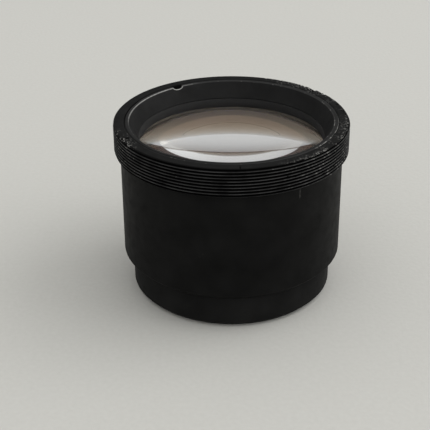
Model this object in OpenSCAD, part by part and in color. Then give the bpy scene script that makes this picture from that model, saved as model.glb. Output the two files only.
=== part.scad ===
// Large-aperture barlow lens: a threaded cell with an air-spaced negative doublet.
// The axis is Z, the cell stands on its tail ring at z = 0, and light goes through along Z.

/* [Cell housing] */
// Height of the whole cell
cell_h = 42.2; // [41:0.1:44]
// Major diameter of the outside thread
thread_d = 55; // [54.6:0.1:56]
// Pitch of the outside thread
thread_pitch = 0.75; // [0.5:0.05:1]
// Height of the threaded flange
flange_h = 7; // [6.5:0.1:7.4]
// Outside diameter of the barrel under the flange
barrel_d = 52.2; // [51.8:0.1:53]
// Height of the chamfer round the foot of the barrel
foot_chamfer = 1.9; // [0.5:0.1:2]

/* [Tail ring] */
// Outside diameter of the spigot
spigot_d = 47.9; // [47.5:0.1:48.2]
// Height of the spigot below the barrel
spigot_h = 7.8; // [7:0.1:8.2]
// Chamfer round the bottom of the spigot
spigot_chamfer = 1.3; // [0.3:0.1:1.4]
// Length of the screwed neck above the spigot
neck_h = 4.8; // [4:0.1:5]

/* [Retaining ring] */
// Diameter over the ring's own thread
ring_d = 49.8; // [49.6:0.1:49.9]
// Diameter of the mouth at the top face
mouth_d = 47.8; // [47.4:0.1:48.2]
// Diameter where the funnel ends
throat_d = 43.4; // [43:0.1:43.8]
// Height of the ring
ring_h = 3.7; // [3.5:0.1:3.8]

/* [Glass] */
// Diameter of both lenses
glass_d = 45.6; // [45.2:0.1:45.8]
// Free diameter over the glass
clear_d = 43.2; // [42.6:0.1:43.2]
// Radius of curvature of the crown's convex face
front_radius = 58.5; // [57:0.5:64]
// Radius of curvature of the crown's faintly hollow back
back_radius = 476; // [400:10:800]
// Thickness of the crown on the axis
crown_t = 10.5; // [9.8:0.1:10.8]
// Radius of curvature of the flint's hollow face
hollow_radius = 44; // [44:1:80]
// Thickness of the flint on the axis
flint_t = 3.4; // [3:0.1:3.6]
// Thickness of the foil between the two lenses
foil_t = 0.06; // [0.04:0.01:0.1]

/* [Light path] */
// Diameter of the hole in the baffles
baffle_hole_d = 36; // [34:0.5:38]
// Diameter of the opening at the bottom
exit_d = 39; // [38:0.5:40]

/* [Hidden] */
$fn = 128;

// Colours
anodised = [0.06, 0.06, 0.065];
matt_black = [0.035, 0.035, 0.035];
glass_tint = [0.72, 0.78, 0.76, 0.5];
nylon_black = [0.08, 0.08, 0.08];
film_amber = [0.55, 0.36, 0.14];
foil_silver = [0.75, 0.75, 0.76];

// Fits
thread_gap = 0.05;
glass_gap = 0.35;
washer_t = 0.2;
foot_gap = 0.1;
eps = 0.01;

// Outside thread of the flange, as rings with the basic profile
flange_r = thread_d / 2;
thread_depth = 0.5413 * thread_pitch;
crest_w = thread_pitch / 8;
root_w = thread_pitch / 4;
top_bevel = 0.4;
flange_z = cell_h - flange_h;
groove_count = floor((flange_h - 2 * top_bevel) / thread_pitch);
first_groove_z = cell_h - top_bevel - thread_pitch / 2;

// Housing bores
barrel_r = barrel_d / 2;
ring_bore_r = ring_d / 2 + thread_gap;
glass_r = glass_d / 2;
pocket_r = glass_r + glass_gap;
neck_r = spigot_d / 2 - 1;
neck_bore_r = neck_r + thread_gap;
lip_t = 1.1;

// Depth of a spherical face of radius c at the distance r from the axis
function sag(c, r) = c - sqrt(c * c - r * r);

// Levels of the stack at the top
ring_z = cell_h - ring_h;
washer_z = ring_z - washer_t;
pressure_h = 3.5;
glass_rim_z = cell_h - 6.1;
crown_apex_z = glass_rim_z + sag(front_radius, clear_d / 2);
crown_back_z = crown_apex_z - crown_t;
crown_edge_z = crown_back_z - sag(back_radius, glass_r);
flint_flat_z = crown_edge_z - foil_t;
hollow_apex_z = flint_flat_z - flint_t;
flint_edge_z = hollow_apex_z - sag(hollow_radius, clear_d / 2 - 1);
seat_h = 0.9;
seat_inner_r = clear_d / 2 - 0.9;
lip_r = seat_inner_r - 0.3;
lip_top_z = flint_edge_z - seat_h;
lip_z = lip_top_z - lip_t;

// Levels at the bottom
neck_top_z = spigot_h + neck_h;
housing_foot_z = spigot_h + foot_gap;
exit_r = exit_d / 2;
end_ring_r = exit_r + 1.4;
end_ring_h = 1.6;
end_ring_z = 0.5;
tail_bore_r = exit_r + 0.3;

// Baffle tube and its knife-edge baffles
tube_r = neck_bore_r - 0.3;
tube_bore_r = tube_r - 1.3;
tube_z = neck_top_z + 0.1;
tube_top_z = lip_z - 0.1;
tube_h = tube_top_z - tube_z;
rib_pitch = 1;
rib_depth = 0.35;
rib_count = floor((tube_h - 1) / rib_pitch);
baffle_t = 0.5;
baffle_hole_r = baffle_hole_d / 2;
baffle_foot = 1.2;
baffle_gap = 0.1;
upper_baffle_z = tube_top_z - baffle_foot - baffle_gap;
middle_baffle_z = tube_z + (tube_h - baffle_foot) / 2;
lower_baffle_z = end_ring_z + end_ring_h + 0.2;

// A ring from a half section given as [radius, height] points
module turned(points) {
    rotate_extrude() polygon(points);
}

// A plain ring
module ring(outer_r, inner_r, low_z, high_z) {
    turned([[inner_r, low_z], [outer_r, low_z], [outer_r, high_z], [inner_r, high_z]]);
}

// A ball whose top is at z = top_z
module ball_below(radius, top_z) {
    translate([0, 0, top_z - radius]) sphere(r = radius);
}

// Outline of the threaded edge, from the top down
function thread_points() = [
    for (i = [0 : groove_count - 1])
        let (z = first_groove_z - i * thread_pitch)
        each [
            [flange_r, z + thread_pitch / 2 - crest_w / 2],
            [flange_r - thread_depth, z + root_w / 2],
            [flange_r - thread_depth, z - root_w / 2],
            [flange_r, z - thread_pitch / 2 + crest_w / 2]
        ]
];

// Outline of the ribbed bore of the baffle tube, from the top down
function rib_points() = [
    for (i = [rib_count - 1 : -1 : 0])
        let (z = tube_z + 0.5 + i * rib_pitch)
        each [[tube_bore_r + rib_depth, z + rib_pitch / 2], [tube_bore_r, z]]
];

module cell_housing() {
    color(anodised)
        turned(concat(
            [[ring_bore_r, cell_h], [flange_r - top_bevel, cell_h]],
            thread_points(),
            [[flange_r - 0.3, flange_z],
            [barrel_r, flange_z],
            [barrel_r, housing_foot_z + foot_chamfer],
            [barrel_r - foot_chamfer, housing_foot_z],
            [neck_bore_r, housing_foot_z],
            [neck_bore_r, lip_z],
            [lip_r, lip_z],
            [lip_r, lip_top_z],
            [pocket_r, lip_top_z],
            [pocket_r, washer_z - pressure_h - 0.1],
            [ring_bore_r, washer_z - pressure_h - 0.1]]
        ));
}

module retaining_ring() {
    color(anodised)
        turned([
            [throat_d / 2, ring_z],
            [ring_d / 2 - 0.3, ring_z],
            [ring_d / 2, ring_z + 0.3],
            [ring_d / 2, cell_h - 0.15],
            [ring_d / 2 - 0.15, cell_h],
            [mouth_d / 2, cell_h]
        ]);
}

module slip_washer() {
    color(matt_black) ring(ring_d / 2 - 0.2, throat_d / 2 + 0.6, washer_z + eps, ring_z - eps);
}

// The ring that bears on the rim of the crown
module pressure_ring() {
    color(matt_black)
        difference() {
            turned([
                [clear_d / 2, glass_rim_z + 0.05],
                [clear_d / 2 + 1.6, washer_z - pressure_h],
                [ring_d / 2 - 0.1, washer_z - pressure_h],
                [ring_d / 2 - 0.1, washer_z],
                [throat_d / 2, washer_z]
            ]);
            ball_below(front_radius + eps, crown_apex_z + eps);
        }
}

// A thick lens with its convex face up and a faintly hollow back
module crown_lens() {
    color(glass_tint)
        difference() {
            intersection() {
                translate([0, 0, crown_edge_z]) cylinder(d = glass_d, h = crown_t + 1);
                ball_below(front_radius, crown_apex_z);
            }
            ball_below(back_radius, crown_back_z);
        }
}

// Three tabs of foil that hold the lenses apart
module foil_spacers() {
    color(foil_silver)
        for (turn = [90, 210, 330])
            rotate([0, 0, turn - 2])
                rotate_extrude(angle = 4)
                    translate([glass_r - 1.2, flint_flat_z + eps])
                        square([1.1, foil_t - 2 * eps]);
}

// Plano-concave, with its hollow face down
module flint_lens() {
    color(glass_tint)
        difference() {
            translate([0, 0, flint_edge_z]) cylinder(d = glass_d, h = flint_flat_z - flint_edge_z);
            ball_below(hollow_radius, hollow_apex_z);
        }
}

// Three strips of film that centre the lenses in their pocket
module centring_shims() {
    shim_t = 0.2;
    shim_r = glass_r + (glass_gap - shim_t) / 2;
    color(film_amber)
        for (turn = [30, 150, 270])
            rotate([0, 0, turn - 9])
                rotate_extrude(angle = 18)
                    translate([shim_r, flint_edge_z + 0.4])
                        square([shim_t, flint_flat_z - flint_edge_z + 1]);
}

module seat_ring() {
    color(nylon_black)
        ring(pocket_r - 0.1, seat_inner_r, lip_top_z + eps, flint_edge_z - eps);
}

module baffle_tube() {
    color(matt_black)
        turned(concat(
            [[tube_r, tube_z], [tube_r, tube_top_z], [tube_bore_r, tube_top_z]],
            rib_points(),
            [[tube_bore_r, tube_z]]
        ));
}

// A dished ring with a sharp inner edge that points up
module baffle(foot_r, z) {
    turned([
        [baffle_hole_r, z + baffle_foot],
        [foot_r - 2 * baffle_t, z],
        [foot_r, z],
        [foot_r, z + baffle_t]
    ]);
}

module upper_baffle() {
    color(matt_black) baffle(tube_bore_r - baffle_gap, upper_baffle_z);
}

module middle_baffle() {
    color(matt_black) baffle(tube_bore_r - baffle_gap, middle_baffle_z);
}

module lower_baffle() {
    color(matt_black) baffle(tail_bore_r - baffle_gap, lower_baffle_z);
}

module spacing_washer() {
    color(matt_black)
        ring(neck_r + 0.6, neck_r + 0.1, spigot_h + eps, housing_foot_z - eps);
}

module tail_ring() {
    color(anodised)
        turned([
            [end_ring_r + thread_gap, 0],
            [spigot_d / 2 - spigot_chamfer, 0],
            [spigot_d / 2, spigot_chamfer],
            [spigot_d / 2, spigot_h],
            [neck_r, spigot_h],
            [neck_r, neck_top_z - 0.4],
            [neck_r - 0.4, neck_top_z],
            [tail_bore_r, neck_top_z],
            [tail_bore_r, end_ring_z + end_ring_h + 0.1],
            [end_ring_r + thread_gap, end_ring_z + end_ring_h + 0.1]
        ]);
}

// Ring bonded into the tail to hold the lower baffle
module end_ring() {
    color(anodised)
        turned([
            [exit_r - 0.3, end_ring_z + 0.3],
            [exit_r, end_ring_z],
            [end_ring_r - 0.2, end_ring_z],
            [end_ring_r, end_ring_z + 0.2],
            [end_ring_r, end_ring_z + end_ring_h],
            [exit_r - 0.3, end_ring_z + end_ring_h]
        ]);
}

cell_housing();
retaining_ring();
slip_washer();
pressure_ring();
crown_lens();
foil_spacers();
flint_lens();
centring_shims();
seat_ring();
baffle_tube();
upper_baffle();
middle_baffle();
lower_baffle();
spacing_washer();
tail_ring();
end_ring();
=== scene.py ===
import math
import random

import bmesh
import bpy
from mathutils import Matrix, Vector


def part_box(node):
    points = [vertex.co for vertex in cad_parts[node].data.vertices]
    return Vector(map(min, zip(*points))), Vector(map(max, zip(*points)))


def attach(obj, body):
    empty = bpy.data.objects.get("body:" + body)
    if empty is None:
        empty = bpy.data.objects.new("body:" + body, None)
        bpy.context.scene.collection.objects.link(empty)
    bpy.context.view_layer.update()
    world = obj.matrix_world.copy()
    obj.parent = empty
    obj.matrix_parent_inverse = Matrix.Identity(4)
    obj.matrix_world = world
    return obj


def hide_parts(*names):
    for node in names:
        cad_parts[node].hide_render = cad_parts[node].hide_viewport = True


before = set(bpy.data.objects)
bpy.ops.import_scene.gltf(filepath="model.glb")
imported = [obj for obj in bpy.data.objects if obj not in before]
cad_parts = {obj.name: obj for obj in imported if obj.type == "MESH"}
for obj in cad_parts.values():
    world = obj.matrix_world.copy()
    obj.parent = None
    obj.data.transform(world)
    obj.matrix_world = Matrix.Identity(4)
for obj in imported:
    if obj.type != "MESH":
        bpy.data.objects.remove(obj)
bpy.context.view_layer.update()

MM = 0.001

# ---------------------------------------------------------------- sizes read from the frame

housing_low, housing_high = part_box("cell_housing")
tail_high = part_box("tail_ring")[1]
ring_low, ring_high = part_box("retaining_ring")
press_low, press_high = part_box("pressure_ring")
crown_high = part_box("crown_lens")[1]
flint_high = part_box("flint_lens")[1]
seat_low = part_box("seat_ring")[0]
tube_low, tube_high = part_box("baffle_tube")
end_low, end_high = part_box("end_ring")

TOP = housing_high.z
FLANGE_R = housing_high.x
FOOT_Z = housing_low.z
RING_R = ring_high.x
RING_Z = ring_low.z
THREAD_PITCH = 0.75 * MM
THREAD_DEPTH = 0.5413 * THREAD_PITCH
FLANGE_H = 7.0 * MM
FLANGE_Z = TOP - FLANGE_H
FLANGE_BEVEL = 0.38 * MM
BARREL_R = FLANGE_R - 1.4 * MM
FOOT_CHAMFER = 1.9 * MM
MOUTH_R = RING_R - 1.0 * MM
THROAT_R = RING_R - 3.2 * MM
GAP = 0.05 * MM
RING_BORE = RING_R + GAP
GLASS_R = crown_high.x
POCKET_R = GLASS_R + 0.35 * MM
CLEAR_R = GLASS_R - 1.2 * MM
LIP_R = CLEAR_R - 1.2 * MM
APEX = crown_high.z
FRONT_RADIUS = 58.5 * MM
BACK_RADIUS = 476 * MM
CROWN_T = 10.5 * MM
HOLLOW_RADIUS = 44 * MM
FLINT_T = 3.4 * MM
SPIGOT_R = tail_high.x
SPIGOT_H = 7.8 * MM
SPIGOT_CHAMFER = 1.3 * MM
NECK_R = SPIGOT_R - 1.0 * MM
NECK_Z = tail_high.z
BAFFLE_HOLE_R = 18 * MM

# ---------------------------------------------------------------- mesh helpers


def new_piece(name, mesh, body, material, node=None):
    """Links a mesh as a piece that rides on a body and may stand for a CAD node."""
    piece = bpy.data.objects.new(name, mesh)
    bpy.context.scene.collection.objects.link(piece)
    mesh.materials.append(material)
    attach(piece, body)
    if node:
        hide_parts(node)
    return piece


def mesh_from(bm, name, sharp_angle):
    """A mesh from a bmesh: smooth faces, with the edges over an angle in degrees left sharp."""
    bmesh.ops.recalc_face_normals(bm, faces=bm.faces)
    for face in bm.faces:
        face.smooth = True
    for edge in bm.edges:
        if len(edge.link_faces) == 2 and edge.calc_face_angle() > math.radians(sharp_angle):
            edge.smooth = False
    mesh = bpy.data.meshes.new(name)
    bm.to_mesh(mesh)
    bm.free()
    return mesh


def join_rings(bm, low, high):
    """Faces between two rings with as many points, or with twice as many in one of them."""
    few, many = sorted((low, high), key=len)
    for i in range(len(few)):
        j = (i + 1) % len(few)
        if len(low) == len(high):
            bm.faces.new((low[i], low[j], high[j], high[i]))
        else:
            middle = many[2 * i + 1]
            bm.faces.new((few[i], few[j], middle))
            bm.faces.new((few[i], middle, many[2 * i]))
            bm.faces.new((few[j], many[(2 * i + 2) % len(many)], middle))


def grid_mesh(name, rows, sharp_angle=30):
    """A ring-shaped mesh from rings of points, the last joined to the first."""
    bm = bmesh.new()
    rings = [[bm.verts.new(p) for p in row] for row in rows]
    for low, high in zip(rings, rings[1:] + rings[:1]):
        join_rings(bm, low, high)
    return mesh_from(bm, name, sharp_angle)


def at_turn(radius, turn, z):
    """The point at a radius and a height, a part of a turn from the front."""
    angle = 2 * math.pi * turn
    return Vector((radius * math.sin(angle), -radius * math.cos(angle), z))


def ring_of(radius, z, count):
    return [at_turn(radius, i / count, z) for i in range(count)]


def turned(name, outline, count=256):
    """A ring-shaped solid turned from a closed outline of (radius, height) points."""
    return grid_mesh(name, [ring_of(r, z, count) for r, z in outline])


def bevelled(outline, width, steps=2):
    """The outline with each corner rounded by a short arc of the given width."""
    rounded = []
    count = len(outline)
    for i, corner in enumerate(outline):
        c = Vector(corner)
        a = Vector(outline[i - 1]) - c
        b = Vector(outline[(i + 1) % count]) - c
        w = min(width, a.length * 0.4, b.length * 0.4)
        start = c + a.normalized() * w
        end = c + b.normalized() * w
        for k in range(steps + 1):
            t = k / steps
            rounded.append(tuple(start * (1 - t) ** 2 + c * 2 * t * (1 - t) + end * t ** 2))
    return rounded


# ---------------------------------------------------------------- materials


class Nodes:
    """A short way to write a node tree."""

    def __init__(self, name):
        self.material = bpy.data.materials.new(name)
        self.material.use_nodes = True
        self.tree = self.material.node_tree
        self.shader = self.tree.nodes["Principled BSDF"]

    def add(self, kind, **inputs):
        node = self.tree.nodes.new(kind)
        for key, value in inputs.items():
            self.put(node, key, value)
        return node

    def put(self, node, key, value):
        if hasattr(node, key) and key not in [s.name for s in node.inputs]:
            setattr(node, key, value)
        elif isinstance(value, bpy.types.NodeSocket):
            self.tree.links.new(value, node.inputs[key])
        else:
            node.inputs[key].default_value = value

    def math(self, operation, a, b=0.0):
        node = self.tree.nodes.new("ShaderNodeMath")
        node.operation = operation
        for i, value in enumerate((a, b)):
            if isinstance(value, bpy.types.NodeSocket):
                self.tree.links.new(value, node.inputs[i])
            else:
                node.inputs[i].default_value = value
        return node.outputs[0]

    def place(self):
        """Object coordinates in millimetres."""
        coord = self.add("ShaderNodeTexCoord")
        mapping = self.add("ShaderNodeMapping", Vector=coord.outputs["Object"])
        mapping.inputs["Scale"].default_value = (1 / MM,) * 3
        return mapping.outputs[0]

    def noise(self, scale, detail=4.0, vector=None):
        place = vector or self.place()
        return self.add("ShaderNodeTexNoise", Scale=scale, Detail=detail, Vector=place).outputs[0]

    def mix(self, factor, a, b):
        """A colour between a and b, each a socket or an RGBA value."""
        node = self.tree.nodes.new("ShaderNodeMix")
        node.data_type = "RGBA"
        for key, value in (("Factor", factor), ("A", a), ("B", b)):
            socket = [s for s in node.inputs if s.name == key and s.enabled][0]
            if isinstance(value, bpy.types.NodeSocket):
                self.tree.links.new(value, socket)
            else:
                socket.default_value = value
        return [s for s in node.outputs if s.enabled][0]

    def ramp(self, factor, stops):
        node = self.add("ShaderNodeValToRGB", Fac=factor)
        elements = node.color_ramp.elements
        for element, (at, value) in zip(elements, stops):
            element.position = at
            element.color = value if len(value) == 4 else (*value, 1)
        for at, value in stops[len(elements):]:
            element = elements.new(at)
            element.color = (*value, 1)
        return node.outputs[0]

    def bump(self, height, strength, distance):
        node = self.add("ShaderNodeBump", Height=height, Strength=strength, Distance=distance)
        return node.outputs[0]


def grey(value):
    return (value, value, value)


def around(n, place):
    """Radius, height and azimuth (0 in front, + to the right) of a point, as sockets."""
    split = n.add("ShaderNodeSeparateXYZ", Vector=place)
    x, y, z = split.outputs
    radius = n.math("SQRT", n.math("ADD", n.math("MULTIPLY", x, x), n.math("MULTIPLY", y, y)))
    azimuth = n.math("ARCTAN2", x, n.math("MULTIPLY", y, -1.0))
    return radius, z, azimuth


def band(n, value, middle, half, soft):
    """1 where the value is within half of the middle, falling to 0 over a soft edge."""
    away = n.math("ABSOLUTE", n.math("SUBTRACT", value, middle))
    edge = n.add("ShaderNodeMapRange", Value=away)
    edge.inputs["From Min"].default_value = half
    edge.inputs["From Max"].default_value = half + soft
    edge.inputs["To Min"].default_value = 1.0
    edge.inputs["To Max"].default_value = 0.0
    return edge.outputs[0]


def anodised(name, base=0.0068, rough=0.6, specular=0.05, wear_and_painted_light=None):
    """Black anodised aluminium: blasted grain, handling marks and dust.

    The last argument is a function of (n, place, radius, height, azimuth) that gives three masks: bare
    metal, edges rubbed to a shine that also carry a painted highlight, and painted shade that darkens
    recesses.
    """
    n = Nodes(name)
    place = n.place()
    grain = n.noise(6.0, 5.0, place)
    cloud = n.noise(0.16, 4.0, place)
    handling = n.noise(0.5, 6.0, place)
    dust = n.add("ShaderNodeTexVoronoi", Vector=place, Scale=0.55)
    speck = n.ramp(dust.outputs["Distance"], [(0.0, grey(1.0)), (0.075, grey(0.0))])
    sparse = n.ramp(n.noise(0.33, 1.0, place), [(0.56, grey(0.0)), (0.66, grey(1.0))])
    dusty = n.math("MULTIPLY", n.math("MULTIPLY", speck, sparse), 0.3)
    colour = n.ramp(cloud, [(0.3, grey(base * 0.75)), (0.7, grey(base * 1.3))])
    colour = n.mix(dusty, colour, (0.10, 0.095, 0.085, 1))
    tone = n.ramp(handling, [(0.3, grey(rough * 0.9)), (0.55, grey(rough)), (0.75, grey(rough * 1.15))])
    shine = specular
    if wear_and_painted_light:
        radius, height, azimuth = around(n, place)
        bare, rubbed_and_highlight, painted_shade = wear_and_painted_light(n, place, radius, height, azimuth)
        # Rubbed edges, partly real rubbing and partly a painted highlight: lighter colour here, stronger
        # reflection below.
        colour = n.mix(rubbed_and_highlight, colour, (*grey(base * 5), 1))
        # Painted shade: near-black colour here and a dulled reflection below.
        colour = n.mix(painted_shade, colour, (*grey(base * 0.2), 1))
        colour = n.mix(bare, colour, (0.34, 0.335, 0.32, 1))
        tone = n.mix(bare, tone, (0.38, 0.38, 0.38, 1))
        n.put(n.shader, "Metallic", bare)
        # Reflection raised on the rubbed edges with their painted highlight, and dulled in the painted
        # shade.
        bright = n.math("ADD", n.math("MULTIPLY", rubbed_and_highlight, 8.0), 1.0)
        dull = n.math("SUBTRACT", 1.0, n.math("MULTIPLY", painted_shade, 0.9))
        shine = n.math("MULTIPLY", n.math("MULTIPLY", bright, dull), specular)
    n.put(n.shader, "Base Color", colour)
    n.put(n.shader, "Roughness", tone)
    n.put(n.shader, "Specular IOR Level", shine)
    n.put(n.shader, "Normal", n.bump(grain, 0.35, 0.00003))
    return n.material


def both(n, *masks):
    product = masks[0]
    for mask in masks[1:]:
        product = n.math("MULTIPLY", product, mask)
    return product


def flange_wear_and_painted_light(n, place, radius, height, azimuth):
    """Crests rubbed to a shine and partly painted highlight, painted shade in the thread roots all round,
    and bare nicks mostly on the right and at the back.
    """
    depth = n.math("SUBTRACT", FLANGE_R * 1000, radius)
    edge = n.ramp(depth, [(0.0, grey(1.0)), (0.16, grey(0.0))])
    # The thread roots, where shade is painted in.
    root = n.ramp(depth, [(0.12, grey(0.0)), (0.3, grey(1.0))])
    flange = band(n, height, (TOP - FLANGE_H / 2) * 1000, FLANGE_H * 500 - 0.15, 0.05)
    spots = n.noise(1.7, 5.0, place)
    busy = n.ramp(spots, [(0.54, grey(0.0)), (0.62, grey(1.0))])
    rare = n.ramp(spots, [(0.69, grey(0.0)), (0.73, grey(1.0))])
    right = band(n, azimuth, 1.15, 0.3, 0.5)
    left = band(n, azimuth, -1.12, 0.12, 0.12)
    clusters = n.ramp(n.noise(0.42, 2.0, place), [(0.46, grey(0.0)), (0.56, grey(1.0))])
    busy_sides = both(n, busy, clusters, n.math("MAXIMUM", right, left), 0.8)
    thread_bare = both(n, edge, flange, n.math("MAXIMUM", busy_sides, rare))
    top = band(n, height, TOP * 1000, 0.3, 0.1)
    back = band(n, azimuth, 2.32, 0.34, 0.12)
    outer = n.ramp(n.math("MULTIPLY", depth, 0.5), [(0.3, grey(1.0)), (0.7, grey(0.25))])
    scuffs = both(n, outer, n.ramp(n.noise(2.2, 6.0, place), [(0.55, grey(0.0)), (0.6, grey(1.0))]))
    sides = n.math("MAXIMUM", n.math("MAXIMUM", back, left), n.math("MULTIPLY", right, 0.8))
    rim_bare = both(n, top, sides, scuffs, clusters)
    patches = n.ramp(n.noise(0.3, 3.0, place), [(0.35, grey(0.35)), (0.65, grey(1.0))])
    # Crests lightened all round: partly rubbed anodising, partly a painted highlight.
    rubbed_and_highlight = both(n, edge, flange, patches)
    below = band(n, height, (FLANGE_Z - 1.5 * MM) * 1000, 1.2, 0.4)
    uneven = n.ramp(spots, [(0.4, grey(0.25)), (0.6, grey(1.0))])
    scratch = both(n, band(n, azimuth, 0.615, 0.004, 0.004), below, uneven, 0.12)
    bare = n.math("MAXIMUM", n.math("MAXIMUM", thread_bare, rim_bare), scratch)
    # The third mask is painted shade in the thread roots.
    return bare, rubbed_and_highlight, both(n, root, flange)


DENT_AZIMUTH = -146.2
DENT_HALF_WIDTH = 3.1
DENT_HEIGHT = 0.6 * MM


def rim_wear_and_painted_light(n, place, radius, height, azimuth):
    """Sharp edges on the funnel ring rubbed to a shine with a painted highlight arc on the back left, a
    few bare nicks, bare metal on the lip of its dent that is partly a painted highlight, and painted
    shade inside the dent.
    """
    rim = band(n, height, TOP * 1000, 0.16, 0.06)
    mouth = band(n, radius, MOUTH_R * 1000, 0.08, 0.06)
    seam = band(n, radius, RING_R * 1000, 0.1, 0.06)
    edges = n.math("MAXIMUM", mouth, seam)
    spots = n.noise(1.3, 4.0, place)
    rare = n.ramp(spots, [(0.62, grey(0.0)), (0.68, grey(0.6))])
    busy = n.ramp(spots, [(0.5, grey(0.0)), (0.56, grey(1.0))])
    nicks = both(n, busy, band(n, azimuth, 1.2, 0.25, 0.15))
    # The back left, where the sharp edges carry a painted highlight arc.
    left = band(n, azimuth, -2.1, 0.4, 0.3)
    from_dent = n.math("SUBTRACT", azimuth, math.radians(DENT_AZIMUTH))
    along = n.math("DIVIDE", from_dent, math.radians(DENT_HALF_WIDTH))
    down = n.math("DIVIDE", n.math("SUBTRACT", TOP * 1000, height), DENT_HEIGHT * 1000)
    oval = n.math("ADD", n.math("MULTIPLY", along, along), n.math("MULTIPLY", down, down))
    # The dent's lip: bare metal, partly a painted highlight.
    lip = both(n, band(n, oval, 1.15, 0.12, 0.12), band(n, down, 0.8, 0.5, 0.1), 0.8)
    # Painted shade inside the dent.
    dent_shade = both(n, band(n, oval, 0.0, 0.8, 0.2), band(n, radius, MOUTH_R * 1000, 1.0, 0.1))
    # The painted highlight arc on the back left, broken in strength and painted as bare metal.
    arc_strength = n.ramp(spots, [(0.35, grey(0.2)), (0.55, grey(0.6))])
    highlight_arc = both(n, arc_strength, left)
    bare = both(n, rim, edges, n.math("MAXIMUM", n.math("MAXIMUM", rare, nicks), highlight_arc))
    # Returns bare metal with the lip, edges rubbed all round with a painted highlight on the back left,
    # and the dent's painted shade.
    return n.math("MAXIMUM", bare, lip), both(n, rim, edges, n.math("MAXIMUM", left, 0.18)), dent_shade


def matt(name, base=0.006, rough=0.62, specular=0.3):
    """Matt black paint inside the cell, with a fine brushed-on grain."""
    n = Nodes(name)
    place = n.place()
    cloud = n.noise(0.8, 4.0, place)
    n.put(n.shader, "Base Color", n.ramp(cloud, [(0.3, grey(base * 0.8)), (0.7, grey(base * 1.3))]))
    n.put(n.shader, "Roughness", n.ramp(cloud, [(0.3, grey(rough)), (0.7, grey(rough * 1.15))]))
    n.put(n.shader, "Specular IOR Level", specular)
    n.put(n.shader, "Normal", n.bump(n.noise(7.0, 4.0, place), 0.3, 0.00004))
    return n.material


GLASS_INDEX = 1.75
FILM_NANOMETRES = 135.0
FILM_INDEX = 1.25
GROUND_EDGE = 0.5


def coated_glass(name, tint, haze_amount):
    """Clear glass under a thin coating, with a light haze and a ground edge."""
    n = Nodes(name)
    place = n.place()
    cloud = n.noise(0.6, 5.0, place)
    radius = around(n, place)[0]
    n.put(n.shader, "Base Color", (*tint, 1))
    n.put(n.shader, "Roughness", n.ramp(cloud, [(0.5, grey(0.0)), (0.8, grey(0.004))]))
    n.put(n.shader, "IOR", GLASS_INDEX)
    n.put(n.shader, "Transmission Weight", 1.0)
    n.put(n.shader, "Thin Film Thickness", FILM_NANOMETRES)
    n.put(n.shader, "Thin Film IOR", FILM_INDEX)
    haze = n.ramp(cloud, [(0.3, grey(haze_amount * 0.85)), (0.7, grey(haze_amount * 1.15))])
    ground = both(n, band(n, radius, GLASS_R * 1000, 0.02, 0.02), GROUND_EDGE)
    haze = n.math("MAXIMUM", haze, ground)
    dust = n.add("ShaderNodeBsdfDiffuse", Color=(0.95, 0.83, 0.72, 1))
    blend = n.add("ShaderNodeMixShader")
    n.tree.links.new(haze, blend.inputs[0])
    n.tree.links.new(n.shader.outputs[0], blend.inputs[1])
    n.tree.links.new(dust.outputs[0], blend.inputs[2])
    n.put(n.tree.nodes["Material Output"], "Surface", blend.outputs[0])
    return n.material


def plain(name, colour, rough):
    """A small moulded or sheet piece: slight colour change, fine grain and uneven shine."""
    n = Nodes(name)
    place = n.place()
    cloud = n.noise(1.2, 4.0, place)
    darker = tuple(c * 0.8 for c in colour)
    n.put(n.shader, "Base Color", n.ramp(cloud, [(0.3, darker), (0.7, colour)]))
    n.put(n.shader, "Roughness", n.ramp(cloud, [(0.3, grey(rough * 0.9)), (0.7, grey(rough * 1.1))]))
    n.put(n.shader, "Normal", n.bump(n.noise(6.0, 3.0, place), 0.2, 0.00003))
    return n.material


def foil(name):
    """Plain metal foil with fine scratches."""
    n = Nodes(name)
    scratches = n.noise(9.0, 5.0)
    n.put(n.shader, "Base Color", n.ramp(scratches, [(0.3, grey(0.6)), (0.7, grey(0.78))]))
    n.put(n.shader, "Metallic", 1.0)
    n.put(n.shader, "Roughness", n.ramp(scratches, [(0.3, grey(0.22)), (0.7, grey(0.4))]))
    return n.material


HOUSING_BLACK = anodised("housing_black", wear_and_painted_light=flange_wear_and_painted_light)
RING_BLACK = anodised("ring_black", base=0.0125, specular=0.1, wear_and_painted_light=rim_wear_and_painted_light)
TAIL_BLACK = anodised("tail_black", base=0.0105, specular=0.045)
MATT = matt("matt_black")
PRESSURE_BLACK = matt("pressure_black", base=0.013, specular=0.5)
CROWN = coated_glass("crown_glass", (0.985, 0.99, 0.985), 0.034)
FLINT = coated_glass("flint_glass", (0.99, 0.98, 0.95), 0.002)
FILM = plain("amber_film", (0.45, 0.26, 0.08), 0.35)
NYLON = plain("black_nylon", (0.03, 0.03, 0.032), 0.5)
BLACK_FILM = plain("black_film", (0.006, 0.006, 0.006), 0.6)
FOIL = foil("foil")

# ---------------------------------------------------------------- camera, floor and light


# The camera fitted to the photo: distances in flange diameters, angles in radians
CAMERA_LENS = 93.66
CAMERA_BACK = 4.3667
CAMERA_UP = 2.6285
CAMERA_DIP = 0.48921
CAMERA_TURN = 0.01654
CAMERA_ROLL = -0.00742


def make_camera():
    data = bpy.data.cameras.new("camera")
    data.sensor_width = 36
    data.lens = CAMERA_LENS
    camera = bpy.data.objects.new("camera", data)
    bpy.context.scene.collection.objects.link(camera)
    width = 2 * FLANGE_R
    place = Matrix.Translation((0, -CAMERA_BACK * width, CAMERA_UP * width))
    aim = Matrix.Rotation(CAMERA_TURN, 4, "Z") @ Matrix.Rotation(math.pi / 2 - CAMERA_DIP, 4, "X")
    camera.matrix_world = place @ aim @ Matrix.Rotation(CAMERA_ROLL, 4, "Z")
    bpy.context.scene.camera = camera


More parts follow.
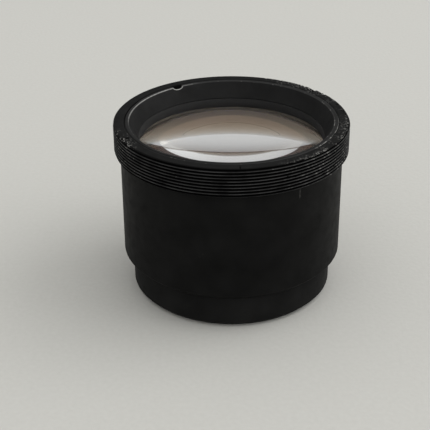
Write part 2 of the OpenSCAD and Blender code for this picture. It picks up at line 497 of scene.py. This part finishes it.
def make_floor():
    """A sheet of soft pale paper with a faint mottled grain."""
    mesh = bpy.data.meshes.new("floor")
    bm = bmesh.new()
    bmesh.ops.create_grid(bm, x_segments=1, y_segments=1, size=3)
    bm.to_mesh(mesh)
    bm.free()
    floor = bpy.data.objects.new("floor", mesh)
    bpy.context.scene.collection.objects.link(floor)
    floor.location.z = -0.0001
    n = Nodes("paper")
    place = n.place()
    mottle = n.noise(0.9, 4.0, place)
    patches = n.noise(0.03, 3.0, place)
    pale = n.ramp(mottle, [(0.3, (0.605, 0.6, 0.568)), (0.7, (0.635, 0.63, 0.598))])
    n.put(n.shader, "Base Color", n.mix(n.math("MULTIPLY", patches, 0.25), pale, (0.585, 0.58, 0.555, 1)))
    n.put(n.shader, "Roughness", 0.85)
    n.put(n.shader, "Specular IOR Level", 0.25)
    n.put(n.shader, "Normal", n.bump(mottle, 0.25, 0.0002))
    mesh.materials.append(n.material)


# Brightness of the sky against the height of a direction, and how it changes to the side
SKY_STOPS = [(0.0, 0.12), (0.156, 0.17), (0.276, 0.21), (0.342, 0.24), (0.438, 0.265)]
SKY_STOPS += [(0.7, 0.3), (0.9, 0.36)]
SKY_POWER = 2.2
SIDE_GLOW = 0.3
SIDE_DIRECTION = (0.9, 0.08, 0.5)
FRONT_GLOW = 1.3


def sky_by_height(tree, height):
    ramp = tree.nodes.new("ShaderNodeValToRGB")
    tree.links.new(height, ramp.inputs[0])
    elements = ramp.color_ramp.elements
    elements[0].position, elements[1].position = SKY_STOPS[0][0], SKY_STOPS[-1][0]
    elements[0].color = (*grey(SKY_STOPS[0][1]), 1)
    elements[1].color = (*grey(SKY_STOPS[-1][1]), 1)
    for at, value in SKY_STOPS[1:-1]:
        elements.new(at).color = (*grey(value), 1)
    return ramp.outputs[0]


def eased(tree, value, start, end, low, high):
    """A socket that goes smoothly from low to high while the value goes from start to end."""
    node = tree.nodes.new("ShaderNodeMapRange")
    node.interpolation_type = "SMOOTHSTEP"
    tree.links.new(value, node.inputs["Value"])
    node.inputs["From Min"].default_value = start
    node.inputs["From Max"].default_value = end
    node.inputs["To Min"].default_value = low
    node.inputs["To Max"].default_value = high
    return node.outputs[0]


def make_sky():
    """Studio surroundings: dim near the floor, brighter overhead and in front, brightest on the right."""
    world = bpy.data.worlds.new("studio")
    world.use_nodes = True
    tree = world.node_tree
    background = tree.nodes["Background"]
    coord = tree.nodes.new("ShaderNodeTexCoord")
    split = tree.nodes.new("ShaderNodeSeparateXYZ")
    tree.links.new(coord.outputs["Generated"], split.inputs[0])
    toward = tree.nodes.new("ShaderNodeVectorMath")
    toward.operation = "DOT_PRODUCT"
    tree.links.new(coord.outputs["Generated"], toward.inputs[0])
    toward.inputs[1].default_value = Vector(SIDE_DIRECTION).normalized()
    total = tree.nodes.new("ShaderNodeMath")
    total.operation = "MULTIPLY_ADD"
    tree.links.new(sky_by_height(tree, split.outputs["Z"]), total.inputs[0])
    total.inputs[1].default_value = SKY_POWER
    tree.links.new(eased(tree, toward.outputs["Value"], 0.35, 1.0, 0.0, SIDE_GLOW), total.inputs[2])
    strength = tree.nodes.new("ShaderNodeMath")
    strength.operation = "MULTIPLY"
    tree.links.new(total.outputs[0], strength.inputs[0])
    tree.links.new(eased(tree, split.outputs["Y"], -0.5, 0.0, FRONT_GLOW, 1.0), strength.inputs[1])
    tree.links.new(strength.outputs[0], background.inputs[1])
    background.inputs[0].default_value = (1.0, 1.0, 0.985, 1)
    bpy.context.scene.world = world


def make_softbox():
    """A large square light above and to the right, aimed at the middle of the object."""
    data = bpy.data.lights.new("softbox", "AREA")
    data.shape = "RECTANGLE"
    data.size, data.size_y = 1.5, 1.5
    data.energy = 9.5
    light = bpy.data.objects.new("softbox", data)
    bpy.context.scene.collection.objects.link(light)
    light.location = (1.35, 0.12, 1.15)
    toward = Vector((0, 0, 0.02)) - light.location
    light.rotation_euler = toward.to_track_quat("-Z", "Y").to_euler()


# ---------------------------------------------------------------- threads and wear


def groove_depth(turn, z, crest_z, crest=1 / 16, root=3 / 8):
    """How far a right-hand 60-degree thread is cut back at a turn and a height."""
    phase = (z - crest_z) / THREAD_PITCH - turn
    away = abs(phase - round(phase))
    return THREAD_DEPTH * min(max((away - crest) / (root - crest), 0.0), 1.0)


def rows_up(low, high, count, steps, radius_at):
    """Rings of points up a wall, with its radius given at each turn, height and distance to an end."""
    rows = []
    for k in range(steps + 1):
        z = low + (high - low) * k / steps
        to_end = min(z - low, high - z)
        row = []
        for i in range(count):
            turn = i / count
            turn = turn - 1 if turn > 0.5 else turn
            row.append(at_turn(radius_at(turn, z, to_end), turn, z))
        rows.append(row)
    return rows


def threaded_rows(radius, low, high, crest_z, count, steps, ends=0.3 * MM):
    """An outside thread that runs out to a bevel at each end."""
    def radius_at(turn, z, to_end):
        return radius - max(groove_depth(turn, z, crest_z), max(ends - to_end, 0.0))

    return rows_up(low, high, count, steps, radius_at)


def bore_rows(radius, low, high, crest_z, count, steps):
    """The same thread in a bore, which opens out to a bevel at each end."""
    def radius_at(turn, z, to_end):
        return radius - min(groove_depth(turn, z, crest_z), max(to_end - 0.1 * MM, 0.0))

    return rows_up(low, high, count, steps, radius_at)


RING_CREST_Z = RING_Z + 0.5 * MM
NECK_CREST_Z = SPIGOT_H + 0.5 * MM
FLANGE_CREST_Z = TOP - 0.79 * MM


def by_azimuth(mesh, low_z, low_r):
    """The vertices above a height and outside a radius, sorted into one-degree sectors."""
    sectors = {}
    for vertex in mesh.vertices:
        co = vertex.co
        if co.z > low_z and math.hypot(co.x, co.y) > low_r:
            sectors.setdefault(round(math.degrees(math.atan2(co.x, -co.y))), []).append(vertex)
    return sectors


def near(sectors, azimuth, half_width):
    """Each vertex within two half widths of an azimuth, with its place along them."""
    for sector in range(math.floor(azimuth - 2 * half_width), math.ceil(azimuth + 2 * half_width) + 1):
        for vertex in sectors.get(sector, []):
            along = (math.degrees(math.atan2(vertex.co.x, -vertex.co.y)) - azimuth) / half_width
            if abs(along) <= 2:
                yield vertex.co, along


def press_in(sectors, azimuth, half_width, radius, reach, depth):
    """A dent in the top face, with the metal raised beside it."""
    for co, along in near(sectors, azimuth, half_width):
        across = (math.hypot(co.x, co.y) - radius) / reach
        below = (TOP - co.z) / (0.7 * MM)
        if abs(across) > 2 or below > 1:
            continue
        fall = max(1 - along * along, 0) * math.exp(-across * across * 1.5)
        lip = math.exp(-(abs(along) - 1.25) ** 2 * 14) * math.exp(-across * across)
        co.z -= depth * (fall - 0.08 * lip) * (1 - below)


def chip(sectors, azimuth, half_width, height, tall, depth):
    """A nick in the crests of the flange thread."""
    for co, along in near(sectors, azimuth, half_width):
        up = (co.z - height) / tall
        if abs(up) < 1 and abs(along) < 1:
            r = math.hypot(co.x, co.y)
            keep = 1 - depth * (1 - along * along) * (1 - up * up) / r
            co.x *= keep
            co.y *= keep


def scoop(sectors, azimuth, half_width, height, depth):
    """A knock in the inner rim: an oval bite out of the funnel with a ledge under it."""
    for co, along in near(sectors, azimuth, half_width):
        down = (TOP - co.z) / height
        oval = along * along + down * down
        r = math.hypot(co.x, co.y)
        if oval < 1 and r < MOUTH_R + 0.6 * MM:
            push = 1 + depth * min((1 - oval) * 4, 1) / r
            co.x *= push
            co.y *= push


# ---------------------------------------------------------------- pieces


def scatter_chips(thread, rng, middle, spread, number, deepest):
    """Random nicks in the thread round an azimuth."""
    for _ in range(number):
        height = TOP - rng.uniform(0.1, 1.0) * FLANGE_H
        azimuth = rng.gauss(middle, spread)
        half_width = rng.uniform(0.2, 0.8)
        tall = rng.uniform(0.15, 0.35) * MM
        chip(thread, azimuth, half_width, height, tall, rng.uniform(0.3, 1.0) * deepest * MM)


def scatter_dents(rim, rng, middle, spread, number, widest, inset, reach, deepest):
    """Random small dents in the top face round an azimuth."""
    for _ in range(number):
        azimuth = rng.gauss(middle, spread)
        half_width = rng.uniform(0.3, widest)
        radius = FLANGE_R - rng.uniform(0.3, inset) * MM
        across = rng.uniform(0.15, reach) * MM
        press_in(rim, azimuth, half_width, radius, across, rng.uniform(0.08, deepest) * MM)


def wear_housing(mesh):
    """Nicks in the thread at the right, left and back, and dents in the top face."""
    rng = random.Random(11)
    thread = by_azimuth(mesh, FLANGE_Z, FLANGE_R - 0.35 * MM)
    scatter_chips(thread, rng, 60, 14, 46, 0.24)
    scatter_chips(thread, rng, -66, 5, 10, 0.2)
    scatter_chips(thread, rng, 132, 8, 14, 0.25)
    scatter_chips(thread, rng, 0, 90, 30, 0.12)
    rim = by_azimuth(mesh, TOP - 0.7 * MM, RING_BORE)
    press_in(rim, -64, 0.8, FLANGE_R - 1.2 * MM, 0.9 * MM, 0.5 * MM)
    press_in(rim, 131, 1.3, FLANGE_R - 1.0 * MM, 0.8 * MM, 0.6 * MM)
    press_in(rim, 4, 0.22, FLANGE_R - 1.0 * MM, 0.9 * MM, 0.3 * MM)
    scatter_dents(rim, rng, 130, 13, 34, 0.9, 1.6, 0.5, 0.32)
    scatter_dents(rim, rng, 84, 12, 14, 0.7, 0.8, 0.4, 0.25)


def make_housing():
    count = 720
    half = count // 2
    neck_bore = NECK_R + GAP
    lip_low = tube_high.z + 0.1 * MM
    ledge = press_low.z - 0.1 * MM
    rows = bore_rows(neck_bore, FOOT_Z, NECK_Z + 0.2 * MM, NECK_CREST_Z, half, 66)[::-1]
    rows.append(ring_of(neck_bore + 0.25 * MM, FOOT_Z, half))
    lower = bevelled([
        (BARREL_R - 3.0 * MM, FOOT_Z),
        (BARREL_R - FOOT_CHAMFER, FOOT_Z),
        (BARREL_R, FOOT_Z + FOOT_CHAMFER),
        (BARREL_R, FLANGE_Z),
        (FLANGE_R - 0.33 * MM, FLANGE_Z),
    ], 0.15 * MM)[3:-3]
    rows += [ring_of(r, z, count) for r, z in lower]
    rows += threaded_rows(FLANGE_R, FLANGE_Z, TOP, FLANGE_CREST_Z, count, 112, FLANGE_BEVEL)
    inner_edge, outer_edge = RING_BORE + 0.16 * MM, FLANGE_R - FLANGE_BEVEL
    rows += [ring_of(outer_edge + (inner_edge - outer_edge) * k / 8, TOP, count) for k in range(1, 9)]
    rows += [ring_of(RING_BORE + 0.04 * MM, TOP - 0.1 * MM, half)]
    rows += bore_rows(RING_BORE, RING_Z - 1.5 * MM, TOP - 0.12 * MM, RING_CREST_Z, half, 70)[::-1]
    inner = [
        (RING_BORE, ledge),
        (POCKET_R, ledge),
        (POCKET_R, seat_low.z),
        (LIP_R, seat_low.z),
        (LIP_R, lip_low),
        (neck_bore, lip_low),
    ]
    rows += [ring_of(r, z, half) for r, z in inner]
    mesh = grid_mesh("housing", rows, 40)
    wear_housing(mesh)
    return new_piece("housing_shell", mesh, "housing", HOUSING_BLACK, "cell_housing")


def make_retaining_ring():
    count = 720
    rows = threaded_rows(RING_R, RING_Z, TOP - 0.01 * MM, RING_CREST_Z, count, 54, 0.1 * MM)
    rows += [ring_of(RING_R - (0.1 + 0.2 * k) * MM, TOP, count) for k in range(1, 5)]
    steps = 24
    for k in range(steps + 1):
        down = (k / steps) ** 1.6
        ease = 0.06 * MM * math.exp(-k / 1.5)
        radius = MOUTH_R + (THROAT_R - MOUTH_R) * down + ease
        rows.append(ring_of(radius, TOP - (TOP - RING_Z) * down - ease / 3, count))
    mesh = grid_mesh("funnel_ring", rows, 35)
    upper = by_azimuth(mesh, TOP - 1.5 * MM, THROAT_R)
    scoop(upper, DENT_AZIMUTH, DENT_HALF_WIDTH, DENT_HEIGHT, 0.35 * MM)
    return new_piece("funnel_ring", mesh, "retaining_ring", RING_BLACK, "retaining_ring")


def make_tail():
    inner_r = end_high.x + GAP
    tail_bore = end_high.x - 1.1 * MM
    shelf = end_high.z + 0.1 * MM
    rows = [ring_of(r, z, 360) for r, z in bevelled([
        (inner_r, shelf),
        (inner_r, 0),
        (SPIGOT_R - SPIGOT_CHAMFER, 0),
        (SPIGOT_R, SPIGOT_CHAMFER),
        (SPIGOT_R, SPIGOT_H),
        (NECK_R - 0.4 * MM, SPIGOT_H),
    ], 0.15 * MM)[1:-2]]
    rows += threaded_rows(NECK_R, SPIGOT_H, NECK_Z, NECK_CREST_Z, 360, 66)
    rows += [ring_of(tail_bore + 0.1 * MM, NECK_Z, 360)]
    rows += [ring_of(tail_bore, NECK_Z - 0.1 * MM, 360)]
    rows += [ring_of(tail_bore, shelf, 360)]
    mesh = grid_mesh("tail", rows, 40)
    return new_piece("tail_shell", mesh, "tail", TAIL_BLACK, "tail_ring")


def make_end_ring():
    exit_r = end_high.x - 1.4 * MM
    mesh = turned("end_ring_mesh", bevelled([
        (exit_r - 0.3 * MM, end_low.z + 0.3 * MM),
        (exit_r, end_low.z),
        (end_high.x, end_low.z),
        (end_high.x, end_high.z),
        (exit_r - 0.3 * MM, end_high.z),
    ], 0.1 * MM))
    return new_piece("end_ring_turned", mesh, "tail", TAIL_BLACK, "end_ring")


def make_pressure_ring():
    """The ring on the rim of the crown, its inner lip following the glass."""
    lip_z = dome(FRONT_RADIUS, APEX)
    outer = press_high.x
    mesh = turned("pressure_ring_mesh", bevelled([
        (THROAT_R, press_high.z),
        (outer, press_high.z),
        (outer, press_low.z),
        (CLEAR_R + 1.6 * MM, press_low.z),
        (GLASS_R, lip_z(GLASS_R) + 0.05 * MM),
        (CLEAR_R, lip_z(CLEAR_R) + 0.06 * MM),
    ], 0.06 * MM), 360)
    return new_piece("pressure_ring_turned", mesh, "housing", PRESSURE_BLACK, "pressure_ring")


def make_baffle_tube():
    """A tube whose bore is cut with fine sawtooth ribs against stray light."""
    bore_r = tube_high.x - 1.3 * MM
    height = tube_high.z - tube_low.z
    outline = [(tube_high.x, tube_low.z), (tube_high.x, tube_high.z), (bore_r, tube_high.z)]
    ribs = int((height - 1 * MM) / MM)
    for i in reversed(range(ribs)):
        z = tube_low.z + 0.5 * MM + i * MM
        outline += [(bore_r + 0.35 * MM, z + 0.5 * MM), (bore_r, z)]
    outline.append((bore_r, tube_low.z))
    mesh = turned("baffle_tube_mesh", outline, 300)
    return new_piece("baffle_tube_turned", mesh, "housing", MATT, "baffle_tube")


def make_baffle(node, body):
    """A dished ring with a knife edge that points up."""
    low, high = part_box(node)
    foot = high.x
    mesh = turned(node + "_mesh", [
        (BAFFLE_HOLE_R, high.z),
        (foot - 1.0 * MM, low.z),
        (foot, low.z),
        (foot, low.z + 0.5 * MM),
    ], 300)
    return new_piece(node + "_turned", mesh, body, MATT, node)


def make_flat_ring(node, body, material, inner_r):
    low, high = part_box(node)
    edge = (high.z - low.z) * 0.2
    mesh = turned(node + "_mesh", bevelled([
        (inner_r, low.z),
        (high.x, low.z),
        (high.x, high.z),
        (inner_r, high.z),
    ], edge), 300)
    return new_piece(node + "_turned", mesh, body, material, node)


def lens_mesh(name, top, bottom, radius, hollow_r=None, count=256, rings=44):
    """A glass disc between two faces, each a function that gives the height at a radius.

    A hollow_r makes the bottom face flat outside that radius. The rim has a small ground bevel.
    """
    bevel = 0.12 * MM
    reach = radius - bevel
    stops = [reach * k / rings for k in range(rings + 1)]
    face_r = hollow_r or reach
    under = [(face_r * k / rings, bottom(face_r * k / rings)) for k in range(rings + 1)]
    if hollow_r:
        under.append((reach, bottom(face_r)))
    upper = [(r, top(r)) for r in reversed(stops)]
    outline = under + [(radius, under[-1][1] + bevel), (radius, upper[0][1] - bevel)] + upper
    bm = bmesh.new()
    rows = []
    for r, z in outline:
        points = [(0, 0, z)] if r < 1e-6 else ring_of(r, z, count)
        rows.append([bm.verts.new(p) for p in points])
    for low, high in zip(rows, rows[1:]):
        for i in range(count):
            j = (i + 1) % count
            if len(low) == 1:
                bm.faces.new((low[0], high[j], high[i]))
            elif len(high) == 1:
                bm.faces.new((low[i], low[j], high[0]))
            else:
                bm.faces.new((low[i], low[j], high[j], high[i]))
    return mesh_from(bm, name, 25)


def dome(radius, apex):
    """Height of a spherical face that is highest on the axis."""
    return lambda r: apex - radius + math.sqrt(radius * radius - r * r)


def flat(height):
    return lambda r: height


def make_lenses():
    crown_back = dome(BACK_RADIUS, APEX - CROWN_T)
    crown_mesh = lens_mesh("crown", dome(FRONT_RADIUS, APEX), crown_back, GLASS_R)
    new_piece("crown_glass", crown_mesh, "housing", CROWN, "crown_lens")
    hollow = dome(HOLLOW_RADIUS, flint_high.z - FLINT_T)
    flint_mesh = lens_mesh("flint", flat(flint_high.z), hollow, GLASS_R, CLEAR_R - 1 * MM)
    new_piece("flint_glass", flint_mesh, "housing", FLINT, "flint_lens")


make_camera()
make_floor()
make_sky()
make_softbox()
bpy.context.scene.view_settings.view_transform = "Standard"
make_housing()
make_retaining_ring()
make_tail()
make_end_ring()
make_pressure_ring()
make_lenses()
make_baffle_tube()
make_baffle("upper_baffle", "housing")
make_baffle("middle_baffle", "housing")
make_baffle("lower_baffle", "tail")
make_flat_ring("seat_ring", "housing", NYLON, CLEAR_R - 0.9 * MM)
make_flat_ring("slip_washer", "slip_washer", BLACK_FILM, THROAT_R + 0.6 * MM)
make_flat_ring("spacing_washer", "spacing_washer", BLACK_FILM, NECK_R + 0.1 * MM)

for node, material in {"centring_shims": FILM, "foil_spacers": FOIL}.items():
    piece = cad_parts[node]
    piece.data.materials.clear()
    piece.data.materials.append(material)
